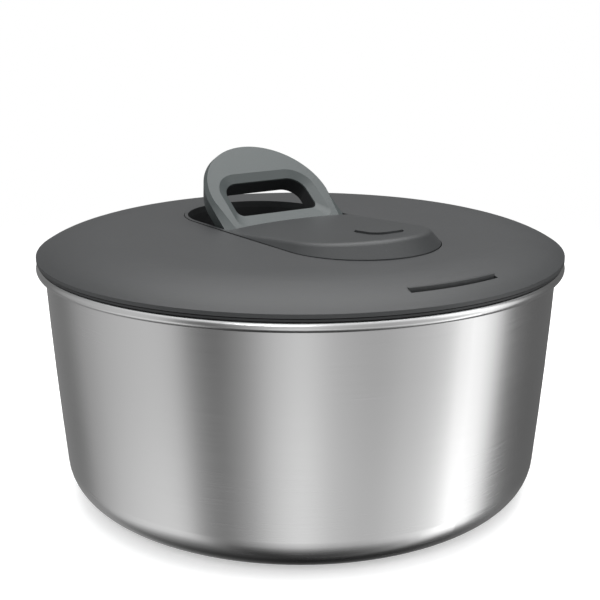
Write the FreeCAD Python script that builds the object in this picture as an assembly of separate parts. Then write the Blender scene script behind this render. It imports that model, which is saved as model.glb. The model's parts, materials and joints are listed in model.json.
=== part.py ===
import FreeCAD, Part
import math
import os
from FreeCAD import Vector

# Salad spinner with a steel bowl and a fold-down lever in the lid. Millimetres, +Z up.
# Origin: centre of the underside of the base ring. +X runs from the lever towards the brake button.

os.makedirs("parts", exist_ok=True)

# Bowl
bowl_base_z = 1.0
bowl_base_radius = 118.8
bowl_rim_radius = 126.3
bowl_rim_z = 116.8
bowl_corner = 19.0
bowl_bulge = 0.5
steel = 0.8
bead_radius = 2.4
bead_end_angle = -140.0
base_ring_outer = 101.0
base_ring_inner = 90.0

# Basket
basket_low_z = 7.0
basket_top_z = 110.0
basket_low_radius = 104.0
basket_top_radius = 115.0
basket_wall = 2.0
basket_flange_radius = 119.0
wall_slot_count = 36
wall_slot_rows = 4
wall_slot_width = 4.0
wall_slot_height = 17.0
wall_slot_step = 22.0
floor_slot_count = 18
lug_count = 6
lug_half = 4.0

# Lid
lid_edge_radius = 130.0
lid_crown = [(0.0, 132.1), (60.0, 132.05), (90.0, 131.75), (104.0, 131.06), (117.0, 128.34),
             (124.8, 125.5), (130.0, 122.6)]
lid_skin = 2.2
lid_lip_z = 120.8
lid_screw_circle = 98.0
slot_inner = 119.7
slot_outer = 121.5
slot_start = -13.3
slot_end = 9.0
slot_lip_z = 128.4
slot_lip_root_z = 126.2
slot_lip_width = 2.1
inner_rim_radius = 129.4
inner_rim_z = 119.35
skirt_outer = 124.0
skirt_inner = 121.6
skirt_low_z = 112.5
bay_outer = 88.0
bay_wall = 2.0
bay_floor_low = 101.0
bay_floor_top = 103.0

# Oval of the top cover: a strip with round ends, the lever at the left and the button at the right
left_x = -39.0
right_x = 47.0
lid_hole_radius = 39.1
cover_radius = 38.7
bezel_inner = 37.0
cover_base_z = 132.3
cover_seat_z = 129.0
cover_skin = 2.0
crest_left = (-10.0, 133.4)
crest_right = (57.0, 138.0)
crown_radius = 600.0
band_rise = 9.0
band_inset = 8.0
band_round = 4.0

# Lever
pivot_x = -15.0
pivot_z = 118.0
face_height = 14.5
lever_radius = 36.4
lever_edge = 0.7
face_bevel_depth = 2.2
face_half_near = 31.0
face_half_far = 34.6
lever_depth = 11.0
lever_draft = 2.6
lever_skin = 2.4
lever_face_skin = 3.0
rest_tilt = 37.5
grip_near = -28.8
grip_far = -51.3
grip_half = 24.3
grip_near_corner = 4.0
grip_far_corner = 9.0
grip_bevel = 4.5
grip_bevel_near = 8.5
grip_bevel_depth = 2.2
stop_gap = 0.5
apron_sweep = 28.0
apron_inner = 12.3
apron_end_radius = 12.9
hub_radius = 8.5
hub_inner_y = 26.2
hub_outer_y = 31.2
pin_radius = 2.0
running = 0.05

# Gear train
module = 1.0
pressure = math.radians(25.0)
addendum = 0.8
dedendum = 1.05
backlash = 0.16
sector_teeth = 20
pinion_teeth = 12
wheel_teeth = 40
clutch_teeth = 12
sector_radius = module * sector_teeth / 2
pinion_radius = module * pinion_teeth / 2
wheel_radius = module * wheel_teeth / 2
clutch_radius = module * clutch_teeth / 2
train_span = wheel_radius + clutch_radius
train_x = 18.0
train_y = -math.sqrt(train_span ** 2 - train_x ** 2)
rack_travel = sector_radius * math.radians(rest_tilt)
rack_low_z = 103.4
rack_top_z = pivot_z - sector_radius
rack_side_y = train_y - pinion_radius
rack_far_y = -33.0
wheel_low_z = 110.4
wheel_high_z = 113.2
gear_pin = 1.5

main_pin = 2.0
well_low_z = 109.4
well_floor_z = 111.0

# Chassis over the gears
plate_low = 113.8
plate_top = 115.8
cheek_inner_y = 33.4
cheek_outer_y = 37.6

# One-way clutch
drum_inner = 13.5
drum_outer = 16.0
drum_low = 104.0
drum_web = 105.5
drum_top = 109.8
shaft_radius = 6.0
roller_radius = 2.0
roller_gap = 0.05
cam_radius = 12.6
roller_count = 3

# Drive disc
disc_low = 98.0
disc_top = 99.6
disc_cone_low = 90.5
disc_cone_high = 94.0
disc_rim_low = 106.6
disc_rim_top = 108.4
disc_rim_radius = 108.0
disc_lug_radius = 112.6

# Brake button
button_x = 55.0
button_y = 6.0
button_length = 10.0
button_width = 9.4
button_gap = 0.5
button_stand = 0.9
button_travel = 2.5
stem_radius = 3.2
pad_radius = 5.0

up = Vector(0, 0, 1)
across = Vector(0, 1, 0)
centre = Vector(0, 0, 0)


def point(x, z):
    return Vector(x, 0, z)


def disc(radius, low, high, x=0.0, y=0.0):
    return Part.makeCylinder(radius, high - low, Vector(x, y, low))


def tube(outer, inner, low, high, x=0.0, y=0.0):
    return disc(outer, low, high, x, y).cut(disc(inner, low - 1, high + 1, x, y))


def block(x_low, x_high, y_low, y_high, z_low, z_high):
    size = (x_high - x_low, y_high - y_low, z_high - z_low)
    return Part.makeBox(size[0], size[1], size[2], Vector(x_low, y_low, z_low))


def cross_bar(radius, y_low, y_high, x, z):
    return Part.makeCylinder(radius, y_high - y_low, Vector(x, y_low, z), across)


def turned(edges):
    return Part.Face(Part.Wire(edges)).revolve(centre, up, 360)


def turned_points(points):
    corners = [point(r, z) for r, z in points]
    return Part.Face(Part.makePolygon(corners + corners[:1])).revolve(centre, up, 360)


def line(start, end):
    return Part.LineSegment(start, end).toShape()


def arc(start, middle, end):
    return Part.Arc(start, middle, end).toShape()


def on_circle(x, z, radius, degrees):
    angle = math.radians(degrees)
    return point(x + radius * math.cos(angle), z + radius * math.sin(angle))


def around(shape, count, start=0.0, x=0.0, y=0.0):
    copies = []
    for index in range(count):
        copy = shape.copy()
        copy.rotate(Vector(x, y, 0), up, start + 360.0 * index / count)
        copies.append(copy)
    return copies


def oval(radius, z, left=left_x, right=right_x):
    top_left = Vector(left, radius, z)
    top_right = Vector(right, radius, z)
    low_left = Vector(left, -radius, z)
    low_right = Vector(right, -radius, z)
    edges = [line(low_left, low_right), arc(low_right, Vector(right + radius, 0, z), top_right),
             line(top_right, top_left), arc(top_left, Vector(left - radius, 0, z), low_left)]
    return Part.Wire(edges)


def oval_block(radius, low, high):
    return Part.Face(oval(radius, low)).extrude(Vector(0, 0, high - low))


def round_end(x_near, radius, z):
    near_low = Vector(x_near, -radius, z)
    near_high = Vector(x_near, radius, z)
    far_low = Vector(left_x, -radius, z)
    far_high = Vector(left_x, radius, z)
    edges = [line(near_low, near_high), line(near_high, far_high),
             arc(far_high, Vector(left_x - radius, 0, z), far_low), line(far_low, near_low)]
    return Part.Wire(edges)


def round_box(x_far, x_near, half, far_corner, near_corner, z):
    far = far_corner * (1 - math.sqrt(0.5))
    near = near_corner * (1 - math.sqrt(0.5))
    a = Vector(x_far + far_corner, -half, z)
    b = Vector(x_near - near_corner, -half, z)
    c = Vector(x_near, -half + near_corner, z)
    d = Vector(x_near, half - near_corner, z)
    e = Vector(x_near - near_corner, half, z)
    f = Vector(x_far + far_corner, half, z)
    g = Vector(x_far, half - far_corner, z)
    h = Vector(x_far, -half + far_corner, z)
    edges = [line(a, b), arc(b, Vector(x_near - near, -half + near, z), c), line(c, d),
             arc(d, Vector(x_near - near, half - near, z), e), line(e, f),
             arc(f, Vector(x_far + far, half - far, z), g), line(g, h),
             arc(h, Vector(x_far + far, -half + far, z), a)]
    return Part.Wire(edges)


def loft(*wires):
    return Part.makeLoft(list(wires), True, True)


def raised(shape):
    copy = shape.copy()
    copy.rotate(Vector(pivot_x, 0, pivot_z), across, rest_tilt)
    return copy


def crown_solid(offset):
    run = crest_right[0] - crest_left[0]
    rise = crest_right[1] - crest_left[1]
    along = Vector(run, 0, rise).normalize()
    normal = Vector(-along.z, 0, along.x)
    start = Vector(crest_left[0], 0, crest_left[1]) + normal * (offset - crown_radius) - along * 120
    return Part.makeCylinder(crown_radius, 320, start, along)


def spring_coil(radius, wire_radius, pitch, height):
    path = Part.makeHelix(pitch, height, radius)
    ring = Part.Circle(Vector(radius, 0, 0), across, wire_radius).toShape()
    return Part.Wire(path.Edges).makePipeShell([Part.Wire(ring)], True, True)


def involute_point(base, roll, angle, side):
    radius = base * math.sqrt(1 + roll ** 2)
    turn = angle + side * (roll - math.atan(roll))
    return Vector(radius * math.cos(turn), radius * math.sin(turn), 0)


def gear_face(teeth, first_angle, chosen=None):
    pitch_radius = module * teeth / 2
    base = pitch_radius * math.cos(pressure)
    tip = pitch_radius + addendum * module
    root = pitch_radius - dedendum * module
    half = (math.pi * module / 2 - backlash) / 2 / pitch_radius
    half_base = half + math.tan(pressure) - pressure
    roll_end = math.sqrt((tip / base) ** 2 - 1)
    steps = [roll_end * k / 3 for k in range(4)]
    points = []
    for tooth in range(teeth):
        angle = first_angle + 2 * math.pi * tooth / teeth
        if chosen is not None and tooth not in chosen:
            start = angle - math.pi / teeth
            points.append(Vector(root * math.cos(start), root * math.sin(start), 0))
            points.append(Vector(root * math.cos(angle), root * math.sin(angle), 0))
            continue
        foot = half_base if root < base else half + 0.02
        low = angle - foot
        high = angle + foot
        points.append(Vector(root * math.cos(low), root * math.sin(low), 0))
        points.extend([involute_point(base, roll, angle - half_base, 1) for roll in steps
                       if base * math.sqrt(1 + roll ** 2) > root])
        points.extend([involute_point(base, roll, angle + half_base, -1) for roll in reversed(steps)
                       if base * math.sqrt(1 + roll ** 2) > root])
        points.append(Vector(root * math.cos(high), root * math.sin(high), 0))
    return Part.Face(Part.makePolygon(points + points[:1]))


def upright_gear(teeth, first_angle, low, high, x, y):
    solid = gear_face(teeth, first_angle).extrude(Vector(0, 0, high - low))
    solid.translate(Vector(x, y, low))
    return solid


def rack_teeth(space_at, start, end):
    # Outline points (along, height) with a space centred at space_at; height 0 is the pitch line.
    pitch = math.pi * module
    half_tooth = pitch / 4 - backlash / 2
    flare = math.tan(pressure)
    points = []
    first = math.ceil((start - space_at) / pitch - 0.5)
    last = math.floor((end - space_at) / pitch - 0.5)
    for index in range(first, last + 1):
        middle = space_at + (index + 0.5) * pitch
        points.append((middle - half_tooth - dedendum * flare, -dedendum))
        points.append((middle - half_tooth + addendum * flare, addendum))
        points.append((middle + half_tooth - addendum * flare, addendum))
        points.append((middle + half_tooth + dedendum * flare, -dedendum))
    return points


def make_bowl():
    slope = (bowl_rim_radius - bowl_base_radius) / 116.0
    lean = math.atan(slope)

    def corner(offset):
        corner_z = bowl_base_z + bowl_corner
        corner_r = bowl_base_radius + slope * corner_z - bowl_corner / math.cos(lean)
        radius = bowl_corner - offset
        low = point(corner_r, bowl_base_z + offset)
        high = on_circle(corner_r, corner_z, radius, -math.degrees(lean))
        middle = on_circle(corner_r, corner_z, radius, -45.0)
        return low, middle, high

    def wall_mid(low, high):
        return point((low.x + high.x) / 2 + bowl_bulge, (low.z + high.z) / 2)

    low_out, mid_out, high_out = corner(0.0)
    low_in, mid_in, high_in = corner(steel)
    bead_x = bowl_rim_radius - steel + bead_radius
    top_out = on_circle(bead_x, bowl_rim_z, bead_radius - steel, 180.0)
    top_in = on_circle(bead_x, bowl_rim_z, bead_radius, 180.0)
    curl_out = on_circle(bead_x, bowl_rim_z, bead_radius, bead_end_angle)
    curl_in = on_circle(bead_x, bowl_rim_z, bead_radius - steel, bead_end_angle)
    turn_out = on_circle(bead_x, bowl_rim_z, bead_radius, 20.0)
    turn_in = on_circle(bead_x, bowl_rim_z, bead_radius - steel, 20.0)
    return turned([
        line(point(0, bowl_base_z), low_out), arc(low_out, mid_out, high_out),
        arc(high_out, wall_mid(high_out, top_out), top_out), arc(top_out, turn_in, curl_in),
        line(curl_in, curl_out), arc(curl_out, turn_out, top_in),
        arc(top_in, wall_mid(high_in, top_in), high_in), arc(high_in, mid_in, low_in),
        line(low_in, point(0, bowl_base_z + steel)),
        line(point(0, bowl_base_z + steel), point(0, bowl_base_z))])


def make_base_ring():
    return tube(base_ring_outer, base_ring_inner, 0.0, bowl_base_z)


def make_pivot_stud():
    seat = bowl_base_z + steel
    return turned_points([(0, seat), (14, seat), (13, seat + 1.2), (5.2, seat + 2.2), (4, seat + 3.4),
                          (4, 14), (2.4, 16), (0, 16)])


def make_basket_bush():
    return turned_points([(4 + running, 6.2), (7, 6.2), (7, 17), (0, 17), (0, 16.4), (3, 16.4),
                          (4 + running, 14.4)])


def make_basket():
    low = basket_low_z
    top = basket_top_z
    inner_low = basket_low_radius - basket_wall
    inner_top = basket_top_radius - basket_wall
    body = turned_points([(7, low + 2), (96, low), (basket_low_radius, low + 6),
                          (basket_top_radius, top - 3.5), (basket_flange_radius, top - 3.5),
                          (basket_flange_radius, top), (inner_top, top), (inner_low, low + 7),
                          (95.5, low + 2), (13, low + 4), (9, 18.6), (0, 18.6), (0, 17), (7, 17)])
    cuts = []
    for row in range(wall_slot_rows):
        z = low + 10.0 + row * wall_slot_step
        slot = block(90, 122, -wall_slot_width / 2, wall_slot_width / 2, z, z + wall_slot_height)
        cuts.extend(around(slot, wall_slot_count, (row % 2) * 180.0 / wall_slot_count))
    cuts.extend(around(block(22, 50, -2, 2, low - 2, low + 6), floor_slot_count))
    cuts.extend(around(block(58, 90, -2, 2, low - 2, low + 6), 2 * floor_slot_count, 5.0))
    notch = block(106, basket_top_radius, -lug_half - 0.4, lug_half + 0.4, disc_rim_low - 0.6, top + 1)
    cuts.extend(around(notch, lug_count, 30.0))
    return body.cut(cuts)


def dome_curve(drop, count):
    points = [point(r, z - drop) for r, z in lid_crown[:count]]
    curve = Part.BSplineCurve()
    curve.interpolate(points)
    return curve.toShape(), points[0], points[-1]


def slot_sector(solid):
    wedge = Part.makeCylinder(200.0, 60.0, Vector(0, 0, 90.0), up, slot_end - slot_start)
    wedge.rotate(centre, up, slot_start)
    return solid.common(wedge)


def drain_slot(low, high, grow=0.0):
    return slot_sector(tube(slot_outer + grow, slot_inner - grow, low, high))


def make_lid_shell():
    top, top_start, top_end = dome_curve(0.0, len(lid_crown))
    under, under_start, under_end = dome_curve(lid_skin, len(lid_crown) - 2)
    corners = [top_end, point(lid_edge_radius, lid_lip_z), point(127.6, lid_lip_z), point(127.0, 122.0),
               under_end]
    edges = [line(a, b) for a, b in zip(corners, corners[1:])]
    body = turned([top] + edges + [under, line(under_start, top_start)])
    lip_start = slot_inner - slot_lip_width
    lip = slot_sector(turned_points([(lip_start, slot_lip_root_z), (slot_inner, slot_lip_root_z),
                                     (slot_inner, slot_lip_z), (lip_start, slot_lip_z - 0.2)]))
    bosses = [disc(4.0, 121.5, 130.0, x, y) for x, y in lid_screw_spots()]
    holes = [disc(1.5, 118.0, 129.0, x, y) for x, y in lid_screw_spots()]
    body = body.fuse([lip] + bosses)
    cuts = [oval_block(lid_hole_radius, 120.0, 140.0), drain_slot(118.0, 135.0)]
    return body.cut(cuts + holes)


def lid_screw_spots():
    angles = [math.radians(45 + 90 * k) for k in range(4)]
    return [(lid_screw_circle * math.cos(a), lid_screw_circle * math.sin(a)) for a in angles]


def post_spots():
    return [(2.0, 31.0), (62.0, 26.0), (62.0, -30.0), (-4.0, -41.0)]


def make_lid_underside():
    body = turned_points([(0, bay_floor_low), (bay_outer, bay_floor_low), (bay_outer, inner_rim_z),
                          (skirt_inner, inner_rim_z), (skirt_inner, skirt_low_z), (skirt_outer, skirt_low_z),
                          (skirt_outer, inner_rim_z), (inner_rim_radius, inner_rim_z),
                          (inner_rim_radius, 120.3), (126.8, 120.3), (126.4, 121.3),
                          (bay_outer - bay_wall, 121.3), (bay_outer - bay_wall, bay_floor_top),
                          (0, bay_floor_top)])
    cuts = [disc(8.0, 100, 104), disc(pad_radius + 0.6, 100, 104, button_x, button_y),
            disc(gear_pin, 102, 104, train_x, train_y), drain_slot(118.0, 122.0, 0.8)]
    cuts.append(tube(skirt_outer + 1, skirt_outer - 1.0, 114.2, 116.2))
    cuts.extend([disc(1.8, 118.0, 122.0, x, y) for x, y in lid_screw_spots()])
    cuts.extend([disc(1.5, 100.0, 104.0, x, y) for x, y in post_spots()])
    return body.cut(cuts)


def make_lid_seal():
    return tube(skirt_outer + 0.9, skirt_outer - 1.0, 114.2, 116.2)


def make_lid_screws():
    screws = []
    for x, y in lid_screw_spots():
        screws.append(disc(3.2, 117.6, inner_rim_z, x, y).fuse(disc(1.5, inner_rim_z, 128.0, x, y)))
    return Part.makeCompound(screws)


def make_chassis_screws():
    screws = []
    for x, y in post_spots():
        screws.append(disc(3.0, 99.8, bay_floor_low, x, y).fuse(disc(1.5, bay_floor_low, 110.0, x, y)))
    return Part.makeCompound(screws)


def button_outline(grow, low, high):
    length = button_length + grow
    width = button_width + grow
    wire = round_box(button_x - length, button_x + length, width, 0.7 * width, 0.7 * width, low)
    solid = Part.Face(wire).extrude(Vector(0, 0, high - low))
    solid.translate(Vector(0, button_y, 0))
    return solid


def cover_form(inset, crown_offset, low):
    reach = band_rise + 2.0
    base = oval(cover_radius - inset, cover_base_z)
    shrink = band_inset * reach / band_rise
    top = oval(cover_radius - inset - shrink, cover_base_z + reach)
    hill = loft(base, top)
    body = hill.fuse(oval_block(cover_radius - inset, low, cover_base_z))
    return body.common(crown_solid(crown_offset))


def soft_crown(form):
    # Rounds the long edge where the flanks meet the crown.
    chosen = []
    for edge in form.Edges:
        box = edge.BoundBox
        if box.ZMax > cover_base_z + 3.0 and box.XLength > 1.0 and box.YLength > 1.0:
            chosen.append(edge)
    return form.makeFillet(band_round, chosen)


def make_top_cover():
    outer = soft_crown(cover_form(0.0, 0.0, cover_seat_z))
    inner = cover_form(cover_skin, -cover_skin, cover_seat_z - 5)
    shell = outer.cut(inner)
    lift = stop_gap + face_height
    beyond = raised(block(pivot_x - 90, pivot_x + 90, -60, 60, pivot_z - 60, pivot_z + lift))
    right = shell.cut([beyond, cross_bar(lift, -60, 60, pivot_x, pivot_z)])
    right = right.common(block(pivot_x, 100, -60, 60, 100, 150))
    right = right.cut(button_outline(button_gap, 120.0, 150.0))
    bezel = oval_block(cover_radius, cover_seat_z, cover_base_z).cut(oval_block(bezel_inner, 120, 140))
    bezel = bezel.common(block(-100, 8.0, -60, 60, 100, 150))
    return bezel.fuse(right)


def make_lever_well():
    outer = oval_block(cover_radius, well_low_z, cover_seat_z)
    inner = oval_block(bezel_inner, well_floor_z, 140.0)
    tray = outer.cut(inner).common(block(-100, -24.0, -60, 60, 100, 140))
    back = block(-25.6, -24.0, -bezel_inner, bezel_inner, well_low_z, well_floor_z + 1.0)
    legs = [disc(3.0, bay_floor_top, well_low_z, x, y) for x, y in [(-66, 0), (-45, 28), (-45, -28)]]
    return tray.fuse([back] + legs)


def make_chassis():
    plate = block(-8.0, 68.0, -45.0, 36.0, plate_low, plate_top)
    cheeks = []
    for side in (-1, 1):
        low_y = min(side * cheek_inner_y, side * cheek_outer_y)
        high_y = max(side * cheek_inner_y, side * cheek_outer_y)
        cheeks.append(block(pivot_x - 3.4, pivot_x + 3.4, low_y, high_y, bay_floor_top, pivot_z))
        cheeks.append(cross_bar(3.2, low_y, high_y, pivot_x, pivot_z))
        cheeks.append(block(pivot_x, -6.0, low_y, high_y, 105.0, plate_top))
    posts = [disc(4.0, bay_floor_top, plate_low, x, y) for x, y in post_spots()]
    guide = disc(stem_radius + 3.0, 107.0, plate_low, button_x, button_y)
    boss = disc(6.0, plate_top, 117.4)
    body = plate.fuse(cheeks + posts + [guide, boss])
    for side in (-1, 1):
        near = min(side * 25.4, side * cheek_inner_y)
        far = max(side * 25.4, side * cheek_inner_y)
        body = body.cut(block(-9.0, -3.4, near, far, plate_low - 1, plate_top + 1))
    cuts = [cross_bar(pin_radius, -50, 50, pivot_x, pivot_z), disc(main_pin, 100, 120),
            disc(gear_pin, 100, 120, train_x, train_y),
            disc(stem_radius + running, 100, 120, button_x, button_y)]
    cuts.extend([disc(1.5, 102.0, 110.0, x, y) for x, y in post_spots()])
    return body.cut(cuts)


def make_hinge_pin():
    return cross_bar(pin_radius, -cheek_outer_y, cheek_outer_y, pivot_x, pivot_z)


def make_main_axle():
    return disc(main_pin, 95.0, 117.4).cut(tube(main_pin + 1, main_pin - 0.5, 96.0, 96.8))


def make_axle_clip():
    ring = tube(4.6, main_pin - 0.5, 96.0, 96.8)
    return ring.cut(block(0, 6, -1.2, 1.2, 95, 98))


def make_gear_axle():
    return disc(gear_pin, 102.0, plate_top, train_x, train_y)


def make_output_bush():
    return tube(8.0, shaft_radius + running, bay_floor_low, bay_floor_top).fuse(
        tube(10.0, shaft_radius + running, bay_floor_top, bay_floor_top + 0.7))


def lever_face_edge(z):
    # The face is narrower than the body, most of all at the hinge, so a long bevel runs down each leg.
    near_low = Vector(pivot_x, -face_half_near, z)
    near_high = Vector(pivot_x, face_half_near, z)
    far_low = Vector(left_x, -face_half_far, z)
    far_high = Vector(left_x, face_half_far, z)
    tip = Vector(left_x - lever_radius + lever_edge, 0, z)
    return Part.Wire([line(near_low, near_high), line(near_high, far_high), arc(far_high, tip, far_low),
                      line(far_low, near_low)])


def apron_bar():
    half = face_half_near
    taper = lever_radius - lever_edge - half
    bars = [cross_bar(face_height, -half, half, pivot_x, pivot_z)]
    for side in (-1, 1):
        bars.append(Part.makeCone(face_height, apron_end_radius, taper, Vector(pivot_x, side * half, pivot_z),
                                  Vector(0, side, 0)))
    return bars[0].fuse(bars[1:])


def make_lever_shell():
    face_z = pivot_z + face_height
    low_z = face_z - lever_depth
    near = pivot_x
    body = loft(round_end(near, lever_radius - lever_draft, low_z),
                round_end(near, lever_radius, face_z - face_bevel_depth))
    body = body.fuse(loft(round_end(near, lever_radius, face_z - face_bevel_depth), lever_face_edge(face_z)))
    hollow = loft(round_end(near + 1, lever_radius - lever_draft - lever_skin, low_z - 0.5),
                  round_end(near + 1, lever_radius - lever_skin - 0.6, face_z - lever_face_skin))
    body = body.cut(hollow)
    drum = apron_bar().cut(cross_bar(apron_inner, -50, 50, pivot_x, pivot_z))
    sweep = block(0, 20, -50, 50, 0, 40)
    sweep.translate(Vector(pivot_x, 0, pivot_z))
    ramp = block(-20, 60, -60, 60, -40, 0)
    ramp.rotate(centre, across, apron_sweep - 90.0)
    ramp.translate(Vector(pivot_x, 0, pivot_z))
    apron = drum.common(sweep).cut(ramp)
    body = body.fuse(apron)
    opening_low = round_box(grip_far, grip_near, grip_half, grip_far_corner, grip_near_corner, low_z - 5)
    opening = Part.Face(opening_low).extrude(Vector(0, 0, 30))
    bevel = loft(round_box(grip_far, grip_near, grip_half, grip_far_corner, grip_near_corner,
                           face_z - grip_bevel_depth),
                 round_box(grip_far - grip_bevel, grip_near + grip_bevel_near, grip_half + grip_bevel,
                           grip_far_corner + grip_bevel, grip_near_corner + 1.0, face_z))
    return raised(body.cut([opening, bevel]))


def make_lever_core():
    face_z = pivot_z + face_height
    low_z = face_z - lever_depth
    radius = lever_radius - lever_draft - lever_skin - 0.15
    plate = Part.Face(round_end(pivot_x - 2.0, radius, low_z)).extrude(Vector(0, 0, 1.8))
    wall_wire = round_box(grip_far - 1.6, grip_near + 1.6, grip_half + 1.6, grip_far_corner + 1.6,
                          grip_near_corner + 1.6, low_z)
    wall = Part.Face(wall_wire).extrude(Vector(0, 0, lever_depth - lever_face_skin - 0.1))
    hubs = []
    for side in (-1, 1):
        low_y = min(side * hub_inner_y, side * hub_outer_y)
        high_y = max(side * hub_inner_y, side * hub_outer_y)
        hubs.append(cross_bar(hub_radius, low_y, high_y, pivot_x, pivot_z))
        hubs.append(block(pivot_x - 9, pivot_x, low_y, high_y, pivot_z, low_z + 1.5))
    opening_wire = round_box(grip_far, grip_near, grip_half, grip_far_corner, grip_near_corner, low_z - 5)
    opening = Part.Face(opening_wire).extrude(Vector(0, 0, 30))
    half = hub_inner_y
    spring_room = block(-21.0, 0, -half, half, 100, face_z)
    body = plate.cut(spring_room).fuse([wall] + hubs).cut(opening)
    body = body.cut([disc(1.0, low_z, low_z + 3, x, y) for x, y in lever_screw_spots()])
    body = raised(body)
    chosen = (0, 1, 2, 3, 4, sector_teeth - 1)
    sector = gear_face(sector_teeth, 0.0, chosen).extrude(Vector(0, 0, hub_outer_y - hub_inner_y - 0.5))
    # The gear is drawn flat with tooth 0 on +X, then stood up so that tooth 0 points down.
    sector.rotate(centre, Vector(1, 0, 0), 90)
    sector.rotate(centre, across, 90)
    sector.translate(Vector(pivot_x, -hub_inner_y - 0.25, pivot_z))
    body = body.fuse(sector)
    return body.cut(cross_bar(pin_radius + running, -50, 50, pivot_x, pivot_z))


def lever_screw_spots():
    return [(-62.0, 0.0), (-40.0, 28.6), (-40.0, -28.6)]


def make_lever_screws():
    low_z = pivot_z + face_height - lever_depth
    screws = []
    for x, y in lever_screw_spots():
        screws.append(disc(2.2, low_z - 1.2, low_z, x, y).fuse(disc(1.0, low_z, low_z + 1.7, x, y)))
    return raised(Part.makeCompound(screws))


def make_lever_spring():
    coil = spring_coil(4.0, 0.6, 1.5, 9.0)
    coil.rotate(centre, Vector(1, 0, 0), -90)
    coil.translate(Vector(pivot_x, 2.0, pivot_z))
    return coil


def make_rack():
    low_x = -28.5
    high_x = 26.0
    teeth = rack_teeth(pivot_x, pivot_x - rack_travel - 6.0, pivot_x + 6.0)
    top_root = rack_top_z - dedendum
    side_root = rack_side_y - dedendum
    body = block(low_x, high_x, rack_far_y, side_root, rack_low_z, top_root)
    top_points = [point(x, rack_top_z + h) for x, h in teeth]
    top_points = [point(top_points[0].x, top_root - 1)] + top_points
    top_points.append(point(top_points[-1].x, top_root - 1))
    top_face = Part.Face(Part.makePolygon(top_points + top_points[:1]))
    top_face.translate(Vector(0, rack_far_y, 0))
    top = top_face.extrude(Vector(0, side_root - rack_far_y, 0))
    side = rack_teeth(train_x, train_x - rack_travel - 6.0, train_x + 6.0)
    side_points = [Vector(x, rack_side_y + h, rack_low_z) for x, h in side]
    side_points = [Vector(side_points[0].x, side_root - 1, rack_low_z)] + side_points
    side_points.append(Vector(side_points[-1].x, side_root - 1, rack_low_z))
    side_face = Part.Face(Part.makePolygon(side_points + side_points[:1]))
    return body.fuse([top, side_face.extrude(Vector(0, 0, top_root - rack_low_z))])


def make_rack_guide():
    top_root = rack_top_z - dedendum
    side_root = rack_side_y - dedendum
    outer = rack_far_y - 0.2
    bridge = block(0.0, 9.0, outer - 2.0, side_root, top_root + 0.25, top_root + 1.6)
    leg = block(0.0, 9.0, outer - 2.0, outer, bay_floor_top, top_root + 0.25)
    return bridge.fuse(leg)


def make_compound_gear():
    toward_rack = -math.pi / 2
    toward_clutch = math.atan2(-train_y, -train_x)
    pinion = upright_gear(pinion_teeth, toward_rack, bay_floor_top + 0.5, wheel_low_z, train_x, train_y)
    wheel = upright_gear(wheel_teeth, toward_clutch, wheel_low_z, wheel_high_z, train_x, train_y)
    return pinion.fuse(wheel).cut(disc(gear_pin + running, 100, 120, train_x, train_y))


def make_clutch_gear():
    toward_wheel = math.atan2(train_y, train_x)
    gear = upright_gear(clutch_teeth, toward_wheel + math.pi / clutch_teeth, wheel_low_z - 0.4,
                        wheel_high_z + 0.2, 0, 0)
    cam = disc(cam_radius, drum_web + 0.3, wheel_low_z - 0.6)
    cam = cam.cut(disc(cam_radius + 1, 109.4, 120).cut(disc(7.0, 109, 121)))
    flat = drum_inner - roller_gap - 2 * roller_radius - 0.02
    pocket = block(flat, cam_radius + 2, -roller_radius - 0.4, 5.2, drum_web - 1, 109.5)
    body = gear.fuse(cam.fuse(disc(5.0, 109.0, wheel_low_z)))
    cuts = around(pocket, roller_count) + [disc(main_pin + running, 90, 130)]
    return body.cut(cuts)


def make_clutch_rollers():
    spot = drum_inner - roller_gap - roller_radius
    roller = disc(roller_radius, drum_web + 0.4, 109.2, spot, 0)
    return Part.makeCompound(around(roller, roller_count))


def make_roller_springs():
    coil = spring_coil(1.0, 0.2, 0.8, 2.6)
    coil.rotate(centre, Vector(1, 0, 0), -90)
    coil.translate(Vector(10.9, roller_radius + 0.25, 107.4))
    return Part.makeCompound(around(coil, roller_count))


def make_clutch_drum():
    cup = turned_points([(main_pin + running, disc_low - 1.0), (shaft_radius, disc_low - 1.0),
                         (shaft_radius, drum_low), (drum_outer, drum_low), (drum_outer, drum_top),
                         (drum_inner, drum_top), (drum_inner, drum_web), (main_pin + running, drum_web)])
    return cup


def make_drive_disc():
    body = turned_points([(shaft_radius, disc_low), (disc_cone_low, disc_low),
                          (disc_cone_high + 1.2, disc_rim_low),
                          (disc_rim_radius, disc_rim_low), (disc_rim_radius, disc_rim_top),
                          (disc_cone_high, disc_rim_top), (disc_cone_low - 1.2, disc_top), (12, disc_top),
                          (12, disc_top + 0.9), (shaft_radius, disc_top + 0.9)])
    lug = block(disc_rim_radius - 6, disc_lug_radius, -lug_half, lug_half, disc_rim_low, disc_rim_top)
    body = body.fuse(around(lug, lug_count, 30.0))
    vents = around(block(30, 62, -3, 3, disc_low - 1, disc_top + 2), 12, 15.0)
    return body.cut(vents)


def make_brake_button():
    skirt_low = 131.0
    top = button_outline(0.0, skirt_low, 150.0).common(crown_solid(button_stand))
    flange = button_outline(1.8, skirt_low, skirt_low + 1.6)
    hollow = button_outline(-1.8, skirt_low - 1, 135.2)
    socket = disc(stem_radius + 1.6, skirt_low, 135.5, button_x, button_y)
    return top.fuse(flange).cut(hollow).fuse(socket).cut(disc(stem_radius, 120, 135.0, button_x, button_y))


def make_brake_stem():
    foot = disc(pad_radius, 104.8, 106.0, button_x, button_y)
    return disc(stem_radius, 104.8, 135.0, button_x, button_y).fuse(foot)


def make_brake_pad():
    gap = 0.15
    return disc(pad_radius, disc_top + button_travel + gap, 104.8, button_x, button_y)


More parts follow.
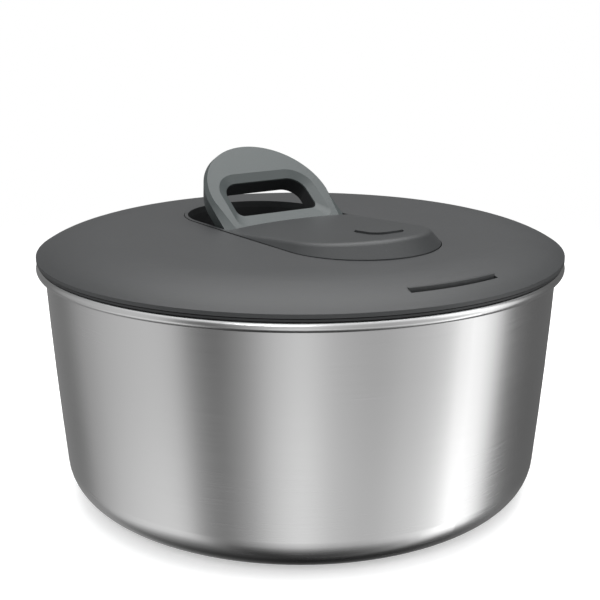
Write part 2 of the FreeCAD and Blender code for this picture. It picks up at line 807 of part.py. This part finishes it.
def make_button_spring():
    # A stacked wave spring: flat rings that touch at two points, turned by a quarter from ring to ring.
    low = plate_top + 0.2
    step = 2.6
    rings = []
    bridges = []
    for index in range(8):
        z = low + index * step
        rings.append(tube(6.1, 4.9, z, z + 0.5, button_x, button_y))
        if index == 7:
            continue
        for side in (0, 180):
            bridge = block(4.95, 6.05, -1.0, 1.0, z + 0.4, z + step + 0.1)
            bridge.rotate(centre, up, side + 90 * (index % 2))
            bridge.translate(Vector(button_x, button_y, 0))
            bridges.append(bridge)
    return rings[0].fuse(rings[1:] + bridges)


nodes = {
    "bowl": make_bowl, "base_ring": make_base_ring, "pivot_stud": make_pivot_stud,
    "basket": make_basket, "basket_bush": make_basket_bush,
    "lid_shell": make_lid_shell, "lid_underside": make_lid_underside, "lid_seal": make_lid_seal,
    "lid_screws": make_lid_screws, "top_cover": make_top_cover, "lever_well": make_lever_well,
    "mechanism_chassis": make_chassis, "chassis_screws": make_chassis_screws,
    "hinge_pin": make_hinge_pin, "main_axle": make_main_axle, "axle_clip": make_axle_clip,
    "gear_axle": make_gear_axle, "output_bush": make_output_bush, "rack_guide": make_rack_guide,
    "lever_shell": make_lever_shell, "lever_core": make_lever_core, "lever_screws": make_lever_screws,
    "lever_spring": make_lever_spring, "rack": make_rack, "compound_gear": make_compound_gear,
    "clutch_gear": make_clutch_gear, "clutch_rollers": make_clutch_rollers,
    "roller_springs": make_roller_springs, "clutch_drum": make_clutch_drum,
    "drive_disc": make_drive_disc, "brake_button": make_brake_button, "brake_stem": make_brake_stem,
    "brake_pad": make_brake_pad, "button_spring": make_button_spring,
}

for name, make in nodes.items():
    shape = make()
    if len(shape.Solids) == 1:
        shape = shape.Solids[0]
    box = shape.BoundBox
    print(name, len(shape.Solids), shape.isValid(), round(shape.Volume / 1000, 2),
          [round(v, 1) for v in (box.XMin, box.YMin, box.ZMin, box.XMax, box.YMax, box.ZMax)])
    shape.exportStep("parts/" + name + ".step")
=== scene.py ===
import json
import math

import bpy
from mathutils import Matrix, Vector

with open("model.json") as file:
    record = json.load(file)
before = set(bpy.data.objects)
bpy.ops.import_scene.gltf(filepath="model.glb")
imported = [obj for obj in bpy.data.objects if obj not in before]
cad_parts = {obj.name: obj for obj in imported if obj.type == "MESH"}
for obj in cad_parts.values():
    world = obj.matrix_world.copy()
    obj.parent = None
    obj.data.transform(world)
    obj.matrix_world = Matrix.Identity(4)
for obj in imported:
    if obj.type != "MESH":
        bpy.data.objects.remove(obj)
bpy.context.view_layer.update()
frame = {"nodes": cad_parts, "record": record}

print("salad spinner: frame loaded,", len(frame["nodes"]), "parts")


def addNode(tree, kind, **values):
    node = tree.nodes.new(kind)
    for name, value in values.items():
        setattr(node, name, value)
    return node


def mathNode(tree, operation, first, second=None):
    node = addNode(tree, "ShaderNodeMath", operation=operation)
    for index, value in enumerate((first, second)):
        if value is None:
            continue
        if isinstance(value, (int, float)):
            node.inputs[index].default_value = value
        else:
            tree.links.new(value, node.inputs[index])
    return node.outputs[0]


def startGroup(name, inputs, outputs):
    group = bpy.data.node_groups.new(name, "ShaderNodeTree")
    for label, kind, value in inputs:
        socket = group.interface.new_socket(name=label, in_out="INPUT", socket_type=kind)
        socket.default_value = value
    for label, kind in outputs:
        group.interface.new_socket(name=label, in_out="OUTPUT", socket_type=kind)
    return group, group.nodes.new("NodeGroupInput"), group.nodes.new("NodeGroupOutput")


def mixColour(tree, factor, first, second, blend="MIX"):
    node = addNode(tree, "ShaderNodeMix", data_type="RGBA", blend_type=blend)
    sockets = [node.inputs[0], node.inputs[6], node.inputs[7]]  # factor, first colour, second colour
    for socket, value in zip(sockets, (factor, first, second)):
        if isinstance(value, (int, float, tuple)):
            socket.default_value = value
        else:
            tree.links.new(value, socket)
    return node.outputs[2]


# Moulded plastic: spark-eroded grain, cloudy tone and small pale specks in the resin.
grainPlan = {"fineDetail": 3.0, "cloudScale": 38.0, "cloudDetail": 4.0, "cloudGain": 4.0,
             "cloudRoughness": 0.9, "grainGain": 0.22, "speckScale": 330.0, "speckOuter": 0.1,
             "speckInner": 0.03, "speckRarity": 0.8, "speckTone": (0.42, 0.43, 0.43, 1),
             "speckShine": 0.25, "speckRise": 0.5}


def buildMouldedGrain():
    inputs = [("Colour", "NodeSocketColor", (0.1, 0.1, 0.1, 1)), ("Grain Size", "NodeSocketFloat", 2600.0),
              ("Cloud", "NodeSocketFloat", 0.08), ("Specks", "NodeSocketFloat", 0.3),
              ("Roughness", "NodeSocketFloat", 0.5)]
    outputs = [("Colour", "NodeSocketColor"), ("Roughness", "NodeSocketFloat"), ("Height", "NodeSocketFloat")]
    group, given, result = startGroup("mouldedGrain", inputs, outputs)
    links = group.links
    where = addNode(group, "ShaderNodeTexCoord")
    fine = addNode(group, "ShaderNodeTexNoise")
    fine.inputs["Detail"].default_value = grainPlan["fineDetail"]
    links.new(where.outputs["Object"], fine.inputs["Vector"])
    links.new(given.outputs["Grain Size"], fine.inputs["Scale"])
    cloud = addNode(group, "ShaderNodeTexNoise")
    cloud.inputs["Scale"].default_value = grainPlan["cloudScale"]
    cloud.inputs["Detail"].default_value = grainPlan["cloudDetail"]
    links.new(where.outputs["Object"], cloud.inputs["Vector"])
    cells = addNode(group, "ShaderNodeTexVoronoi")
    cells.inputs["Scale"].default_value = grainPlan["speckScale"]
    links.new(where.outputs["Object"], cells.inputs["Vector"])
    dots = addNode(group, "ShaderNodeMapRange")
    dots.inputs["From Min"].default_value = grainPlan["speckOuter"]
    dots.inputs["From Max"].default_value = grainPlan["speckInner"]
    links.new(cells.outputs["Distance"], dots.inputs["Value"])
    chance = addNode(group, "ShaderNodeSeparateColor")
    links.new(cells.outputs["Color"], chance.inputs["Color"])
    rare = mathNode(group, "GREATER_THAN", chance.outputs[0], grainPlan["speckRarity"])
    specks = mathNode(group, "MULTIPLY", mathNode(group, "MULTIPLY", dots.outputs["Result"], rare),
                      given.outputs["Specks"])
    tone = mathNode(group, "SUBTRACT", cloud.outputs["Fac"], 0.5)
    tone = mathNode(group, "MULTIPLY", tone, given.outputs["Cloud"])
    centred = mathNode(group, "SUBTRACT", fine.outputs["Fac"], 0.5)
    grainTone = mathNode(group, "MULTIPLY", centred, grainPlan["grainGain"])
    cloudTone = mathNode(group, "MULTIPLY", tone, grainPlan["cloudGain"])
    bright = mathNode(group, "ADD", mathNode(group, "ADD", 1.0, cloudTone), grainTone)
    shade = addNode(group, "ShaderNodeVectorMath", operation="SCALE")
    links.new(given.outputs["Colour"], shade.inputs[0])
    links.new(bright, shade.inputs["Scale"])
    links.new(mixColour(group, specks, shade.outputs[0], grainPlan["speckTone"]), result.inputs["Colour"])
    cloudRough = mathNode(group, "MULTIPLY", tone, grainPlan["cloudRoughness"])
    rough = mathNode(group, "ADD", given.outputs["Roughness"], cloudRough)
    rough = mathNode(group, "SUBTRACT", rough, mathNode(group, "MULTIPLY", specks, grainPlan["speckShine"]))
    links.new(rough, result.inputs["Roughness"])
    speckRise = mathNode(group, "MULTIPLY", specks, grainPlan["speckRise"])
    links.new(mathNode(group, "ADD", fine.outputs["Fac"], speckRise), result.inputs["Height"])
    return group


# Lines that run round the spin axis, as a lathe, a polishing wheel or a turned mould leaves them.
linePlan = {"axisRoom": 0.002, "detail": 5.0, "roughness": 0.7, "smudgeScale": 14.0, "smudgeDetail": 5.0}


def buildTurnedLines():
    inputs = [("Lines", "NodeSocketFloat", 900.0), ("Streak", "NodeSocketFloat", 3.0),
              ("Flat", "NodeSocketFloat", 0.0)]
    outputs = [("Value", "NodeSocketFloat"), ("Smudge", "NodeSocketFloat")]
    group, given, result = startGroup("turnedLines", inputs, outputs)
    links = group.links
    where = addNode(group, "ShaderNodeTexCoord")
    split = addNode(group, "ShaderNodeSeparateXYZ")
    links.new(where.outputs["Object"], split.inputs["Vector"])
    x, y, z = split.outputs
    square = mathNode(group, "ADD", mathNode(group, "MULTIPLY", x, x), mathNode(group, "MULTIPLY", y, y))
    radius = mathNode(group, "SQRT", square)
    safe = mathNode(group, "MAXIMUM", radius, linePlan["axisRoom"])
    upright = mathNode(group, "SUBTRACT", 1.0, given.outputs["Flat"])
    across = mathNode(group, "ADD", mathNode(group, "MULTIPLY", z, upright),
                      mathNode(group, "MULTIPLY", radius, given.outputs["Flat"]))
    ring = addNode(group, "ShaderNodeCombineXYZ")
    for index, along in enumerate((x, y)):
        stretched = mathNode(group, "MULTIPLY", along, given.outputs["Streak"])
        links.new(mathNode(group, "DIVIDE", stretched, safe), ring.inputs[index])
    links.new(mathNode(group, "MULTIPLY", across, given.outputs["Lines"]), ring.inputs[2])
    lines = addNode(group, "ShaderNodeTexNoise")
    lines.inputs["Scale"].default_value = 1.0
    lines.inputs["Detail"].default_value = linePlan["detail"]
    lines.inputs["Roughness"].default_value = linePlan["roughness"]
    links.new(ring.outputs[0], lines.inputs["Vector"])
    links.new(lines.outputs["Fac"], result.inputs["Value"])
    smudge = addNode(group, "ShaderNodeTexNoise")
    smudge.inputs["Scale"].default_value = linePlan["smudgeScale"]
    smudge.inputs["Detail"].default_value = linePlan["smudgeDetail"]
    links.new(where.outputs["Object"], smudge.inputs["Vector"])
    links.new(smudge.outputs["Fac"], result.inputs["Smudge"])
    return group


mouldedGrain = buildMouldedGrain()
turnedLines = buildTurnedLines()
print("salad spinner: shared effects built")


def startMaterial(name):
    material = bpy.data.materials.new(name)
    material.use_nodes = True
    shader = material.node_tree.nodes["Principled BSDF"]
    return material, material.node_tree, shader


def placeGroup(tree, group, values):
    node = addNode(tree, "ShaderNodeGroup")
    node.node_tree = group
    for name, value in values.items():
        node.inputs[name].default_value = value
    return node


def addBump(tree, shader, height, strength, distance):
    bump = addNode(tree, "ShaderNodeBump")
    bump.inputs["Strength"].default_value = strength
    bump.inputs["Distance"].default_value = distance
    tree.links.new(height, bump.inputs["Height"])
    tree.links.new(bump.outputs["Normal"], shader.inputs["Normal"])


# What a look doesn't say itself.
plainPlastic = {"grainSize": 2600.0, "cloud": 0.05, "specks": 0.0, "bump": 0.2, "ior": 1.46,
                "ringStreak": 1.2, "glowRadius": 0.004, "grainDepth": 0.0002}


def plasticMaterial(name, given):
    look = {**plainPlastic, **given}
    material, tree, shader = startMaterial(name)
    grain = placeGroup(tree, mouldedGrain, {
        "Colour": look["colour"] + (1,), "Grain Size": look["grainSize"],
        "Cloud": look["cloud"], "Specks": look["specks"], "Roughness": look["roughness"]})
    height = grain.outputs["Height"]
    if "rings" in look:
        rings = placeGroup(tree, turnedLines, {"Lines": look["rings"], "Streak": look["ringStreak"],
                                               "Flat": 1.0})
        ringHeight = mathNode(tree, "MULTIPLY", rings.outputs["Value"], look["ringDepth"])
        height = mathNode(tree, "ADD", height, ringHeight)
    tree.links.new(grain.outputs["Colour"], shader.inputs["Base Color"])
    tree.links.new(grain.outputs["Roughness"], shader.inputs["Roughness"])
    shader.inputs["IOR"].default_value = look["ior"]
    if "subsurface" in look:
        shader.inputs["Subsurface Weight"].default_value = look["subsurface"]
        shader.inputs["Subsurface Radius"].default_value = (look["glowRadius"],) * 3
    addBump(tree, shader, height, look["bump"], look["grainDepth"])
    return material


plainMetal = {"streak": 3.0, "flat": 0.0, "contrast": 1.0, "bump": 0.08, "lineLow": 0.3, "lineHigh": 0.7,
              "smoother": 0.05, "rougher": 0.07, "smudge": 0.08, "darker": 0.1, "lineDepth": 0.0001}


def metalMaterial(name, given):
    look = {**plainMetal, **given}
    material, tree, shader = startMaterial(name)
    lines = placeGroup(tree, turnedLines, {"Lines": look["lines"], "Streak": look["streak"],
                                           "Flat": look["flat"]})
    ramp = addNode(tree, "ShaderNodeMapRange")
    ramp.inputs["From Min"].default_value = look["lineLow"]
    ramp.inputs["From Max"].default_value = look["lineHigh"]
    contrast = look["contrast"]  # how far the turned lines stand out
    ramp.inputs["To Min"].default_value = look["roughness"] - look["smoother"] * contrast
    ramp.inputs["To Max"].default_value = look["roughness"] + look["rougher"] * contrast
    tree.links.new(lines.outputs["Value"], ramp.inputs["Value"])
    centred = mathNode(tree, "SUBTRACT", lines.outputs["Smudge"], 0.5)
    smudge = mathNode(tree, "MULTIPLY", centred, look["smudge"])
    smudged = mathNode(tree, "ADD", ramp.outputs["Result"], smudge)
    tree.links.new(smudged, shader.inputs["Roughness"])
    dark = tuple(value * (1.0 - look["darker"] * contrast) for value in look["colour"]) + (1,)
    tone = mixColour(tree, lines.outputs["Value"], dark, look["colour"] + (1,))
    tree.links.new(tone, shader.inputs["Base Color"])
    shader.inputs["Metallic"].default_value = 1.0
    addBump(tree, shader, lines.outputs["Value"], look["bump"], look["lineDepth"])
    return material


bowlLook = {"colour": (0.6, 0.6, 0.6), "roughness": 0.24, "lines": 2200.0, "streak": 1.6, "bump": 0.007,
            "contrast": 0.4}
lidLook = {"colour": (0.03, 0.0315, 0.0325), "roughness": 0.47, "cloud": 0.03, "specks": 0.22,
           "grainSize": 2200.0, "rings": 260.0, "ringDepth": 1.6, "bump": 0.28}
coverLook = {"colour": (0.027, 0.0288, 0.0298), "roughness": 0.42, "cloud": 0.03, "specks": 0.08, "bump": 0.2}
leverLook = {"colour": (0.052, 0.062, 0.062), "roughness": 0.42, "cloud": 0.03, "specks": 0.05, "bump": 0.2}
# Lever core: a black insert whose near-black tone also paints the shade deep inside the lever's opening.
corePaintedShadeLook = {"colour": (0.012, 0.013, 0.014), "roughness": 0.5, "bump": 0.25}
# Inner plastic: darkened to near black to paint the shade down in the deep lever well.
innerPaintedShadeLook = {"colour": (0.016, 0.017, 0.018), "roughness": 0.5, "bump": 0.25}
rubberLook = {"colour": (0.028, 0.028, 0.029), "roughness": 0.78, "cloud": 0.1, "grainSize": 1500.0,
              "bump": 0.4}
sealLook = {"colour": (0.3, 0.31, 0.32), "roughness": 0.6, "cloud": 0.08, "bump": 0.2}
basketLook = {"colour": (0.72, 0.735, 0.74), "roughness": 0.34, "cloud": 0.03, "bump": 0.12,
              "subsurface": 0.25}
discLook = {"colour": (0.6, 0.615, 0.62), "roughness": 0.36, "cloud": 0.04, "bump": 0.12, "subsurface": 0.2}
gearLook = {"colour": (0.8, 0.785, 0.74), "roughness": 0.32, "cloud": 0.04, "bump": 0.1, "subsurface": 0.2}
pinLook = {"colour": (0.62, 0.62, 0.63), "roughness": 0.2, "lines": 5200.0}
springLook = {"colour": (0.5, 0.5, 0.52), "roughness": 0.3, "lines": 3000.0}
screwLook = {"colour": (0.55, 0.56, 0.57), "roughness": 0.33, "lines": 1800.0, "flat": 1.0}

finishes = {
    "bowl_steel": metalMaterial("satinSteel", bowlLook),
    "lid_plastic": plasticMaterial("lidPlastic", lidLook),
    "lever_plastic": plasticMaterial("leverPlastic", leverLook),
    "lever_core_plastic": plasticMaterial("leverCorePaintedShade", corePaintedShadeLook),
    "inner_plastic": plasticMaterial("innerPaintedShadePlastic", innerPaintedShadeLook),
    "foot_rubber": plasticMaterial("footRubber", rubberLook),
    "seal_rubber": plasticMaterial("sealRubber", sealLook),
    "basket_plastic": plasticMaterial("basketPlastic", basketLook),
    "disc_plastic": plasticMaterial("discPlastic", discLook),
    "gear_plastic": plasticMaterial("gearPlastic", gearLook),
    "pin_steel": metalMaterial("pinSteel", pinLook),
    "spring_steel": metalMaterial("springSteel", springLook),
    "screw_steel": metalMaterial("screwSteel", screwLook),
}
coverPlastic = plasticMaterial("coverPlastic", coverLook)
nodeSlots = {part["node"]: part["material_slot"] for part in frame["record"]["subparts"]}

for name in frame["nodes"]:
    part = bpy.data.objects[name]
    finish = finishes[nodeSlots[name]]
    if name in ("top_cover", "brake_button"):
        finish = coverPlastic
    for slot in part.material_slots:
        slot.material = finish
print("salad spinner: finishes assigned")


# Floor, lights and camera.
# "ring" is the brightness of the walls round the object, by degrees from the camera's side, and "depth"
# scales it by how far below the horizon a reflection looks.
studio = {"floorSize": 60.0, "floorLight": (0.95, 0.95, 0.95, 1), "floorDark": (0.93, 0.93, 0.93, 1),
          "floorScale": 40.0, "floorRoughness": 0.9, "floorGlow": 0.3, "facing": math.radians(-35.0),
          "ring": [(-180, 0.15), (-157, 0.26), (-128, 0.22), (-109, 0.5), (-95, 0.66), (-82, 0.74),
                   (-68, 0.8), (-58, 0.78), (-47, 0.26), (-37, 0.15), (-27, 0.33), (-9, 0.8),
                   (0, 0.96), (18, 0.62), (34, 0.54), (52, 0.72), (68, 0.92), (80, 1.9),
                   (92, 1.35), (106, 0.2), (125, 0.15), (180, 0.15)],
          "depth": [(-1.0, 0.08), (-0.94, 0.12), (-0.86, 0.35), (-0.78, 0.7), (-0.66, 1.5), (-0.54, 1.35),
                    (-0.42, 1.0), (0.0, 1.0)],
          "fadeFrom": 0.26, "fadeTo": 0.75, "ceilingFrom": 0.45, "ceilingTo": 0.95,
          "ceiling": (1.25, 1.26, 1.27, 1)}


# The paper turns clear away from the object, so that it meets the white backdrop with no line.
def fadeOut(tree, shader):
    where = addNode(tree, "ShaderNodeTexCoord")
    distance = addNode(tree, "ShaderNodeVectorMath", operation="LENGTH")
    tree.links.new(where.outputs["Object"], distance.inputs[0])
    fade = addNode(tree, "ShaderNodeMapRange", interpolation_type="SMOOTHSTEP")
    fade.inputs["From Min"].default_value = studio["fadeTo"]
    fade.inputs["From Max"].default_value = studio["fadeFrom"]
    tree.links.new(distance.outputs["Value"], fade.inputs["Value"])
    tree.links.new(fade.outputs["Result"], shader.inputs["Alpha"])


def fillRamp(ramp, stopList, low, high):
    stops = ramp.color_ramp.elements
    for index, (value, tone) in enumerate(stopList):
        place = (value - low) / (high - low)
        stop = stops[0] if index == 0 else stops[-1] if index == len(stopList) - 1 else stops.new(place)
        stop.position = place
        stop.color = (tone, tone, tone, 1)


def buildFloor():
    size = studio["floorSize"]
    mesh = bpy.data.meshes.new("studioFloor")
    corners = [(-size, -size, 0), (size, -size, 0), (size, size, 0), (-size, size, 0)]
    mesh.from_pydata(corners, [], [(0, 1, 2, 3)])
    floor = bpy.data.objects.new("studioFloor", mesh)
    bpy.context.scene.collection.objects.link(floor)
    material, tree, shader = startMaterial("floorPaper")
    noise = addNode(tree, "ShaderNodeTexNoise")
    noise.inputs["Scale"].default_value = studio["floorScale"]
    tone = mixColour(tree, noise.outputs["Fac"], studio["floorDark"], studio["floorLight"])
    tree.links.new(tone, shader.inputs["Base Color"])
    shader.inputs["Roughness"].default_value = studio["floorRoughness"]
    shader.inputs["Emission Color"].default_value = (1, 1, 1, 1)
    shader.inputs["Emission Strength"].default_value = studio["floorGlow"]
    fadeOut(tree, shader)
    mesh.materials.append(material)
    floor.visible_glossy = False  # the steel mirrors the soft studio walls, as on a light table


def buildWorld():
    world = bpy.data.worlds.new("studioWorld")
    bpy.context.scene.world = world
    world.use_nodes = True
    tree = world.node_tree
    background = tree.nodes["Background"]
    where = addNode(tree, "ShaderNodeTexCoord")
    turn = addNode(tree, "ShaderNodeVectorRotate", rotation_type="Z_AXIS")
    turn.inputs["Angle"].default_value = -studio["facing"]
    tree.links.new(where.outputs["Generated"], turn.inputs["Vector"])
    split = addNode(tree, "ShaderNodeSeparateXYZ")
    tree.links.new(turn.outputs[0], split.inputs[0])
    angle = mathNode(tree, "ARCTAN2", split.outputs[1], split.outputs[0])
    share = mathNode(tree, "ADD", mathNode(tree, "DIVIDE", angle, 2 * math.pi), 0.5)
    ramp = addNode(tree, "ShaderNodeValToRGB")
    ramp.color_ramp.interpolation = "EASE"
    fillRamp(ramp, studio["ring"], -180.0, 180.0)
    tree.links.new(share, ramp.inputs["Fac"])
    depth = addNode(tree, "ShaderNodeValToRGB")
    fillRamp(depth, studio["depth"], -1.0, 0.0)
    tree.links.new(mathNode(tree, "ADD", split.outputs[2], 1.0), depth.inputs["Fac"])
    walls = mixColour(tree, 1.0, ramp.outputs["Color"], depth.outputs["Color"], "MULTIPLY")
    sky = addNode(tree, "ShaderNodeMapRange")
    sky.inputs["From Min"].default_value = studio["ceilingFrom"]
    sky.inputs["From Max"].default_value = studio["ceilingTo"]
    tree.links.new(split.outputs[2], sky.inputs["Value"])
    colour = mixColour(tree, sky.outputs["Result"], walls, studio["ceiling"])
    tree.links.new(colour, background.inputs["Color"])
    white = addNode(tree, "ShaderNodeBackground")
    white.inputs["Color"].default_value = (1, 1, 1, 1)
    path = addNode(tree, "ShaderNodeLightPath")
    mix = addNode(tree, "ShaderNodeMixShader")
    tree.links.new(path.outputs["Is Camera Ray"], mix.inputs["Fac"])
    tree.links.new(background.outputs[0], mix.inputs[1])
    tree.links.new(white.outputs[0], mix.inputs[2])
    tree.links.new(mix.outputs[0], tree.nodes["World Output"].inputs["Surface"])


def towards(angle, distance, height):
    turn = studio["facing"] + math.radians(angle)
    return Vector((distance * math.cos(turn), distance * math.sin(turn), height))


def addLight(name, place, target, size, watts):
    data = bpy.data.lights.new(name, "AREA")
    data.shape = "RECTANGLE"
    data.size, data.size_y = size
    data.energy = watts
    light = bpy.data.objects.new(name, data)
    light.location = place
    light.rotation_euler = (Vector(target) - place).to_track_quat("-Z", "Y").to_euler()
    bpy.context.scene.collection.objects.link(light)


lightPlan = {
    "topSoftbox": (towards(175, 0.35, 1.5), (1.5, 1.3), 17.0),
    "rearSoftbox": (towards(165, 1.2, 1.1), (1.4, 0.8), 1.5),
    "rightSoftbox": (towards(70, 1.3, 0.7), (0.7, 0.9), 1.5),
    "frontSoftbox": (towards(-12, 1.5, 1.3), (0.8, 0.6), 7.0),
}

cameraPlan = {"place": (0.4476, -0.3134, 0.2413), "tilt": 0.26453, "lens": 66.47, "shift": 0.0006}


def buildCamera():
    bpy.context.scene.view_settings.view_transform = "Standard"
    data = bpy.data.cameras.new("viewCamera")
    data.lens = cameraPlan["lens"]
    data.sensor_width = 36.0
    data.shift_x = -cameraPlan["shift"]
    data.clip_start = 0.01
    camera = bpy.data.objects.new("viewCamera", data)
    camera.location = cameraPlan["place"]
    turn = studio["facing"] + math.pi
    flat = math.cos(cameraPlan["tilt"])
    look = Vector((math.cos(turn) * flat, math.sin(turn) * flat, -math.sin(cameraPlan["tilt"])))
    camera.rotation_euler = look.to_track_quat("-Z", "Y").to_euler()
    bpy.context.scene.collection.objects.link(camera)
    bpy.context.scene.camera = camera


buildFloor()
buildWorld()
for name, (place, size, watts) in lightPlan.items():
    addLight(name, place, (0, 0, 0.08), size, watts)
buildCamera()
print("salad spinner: studio set")
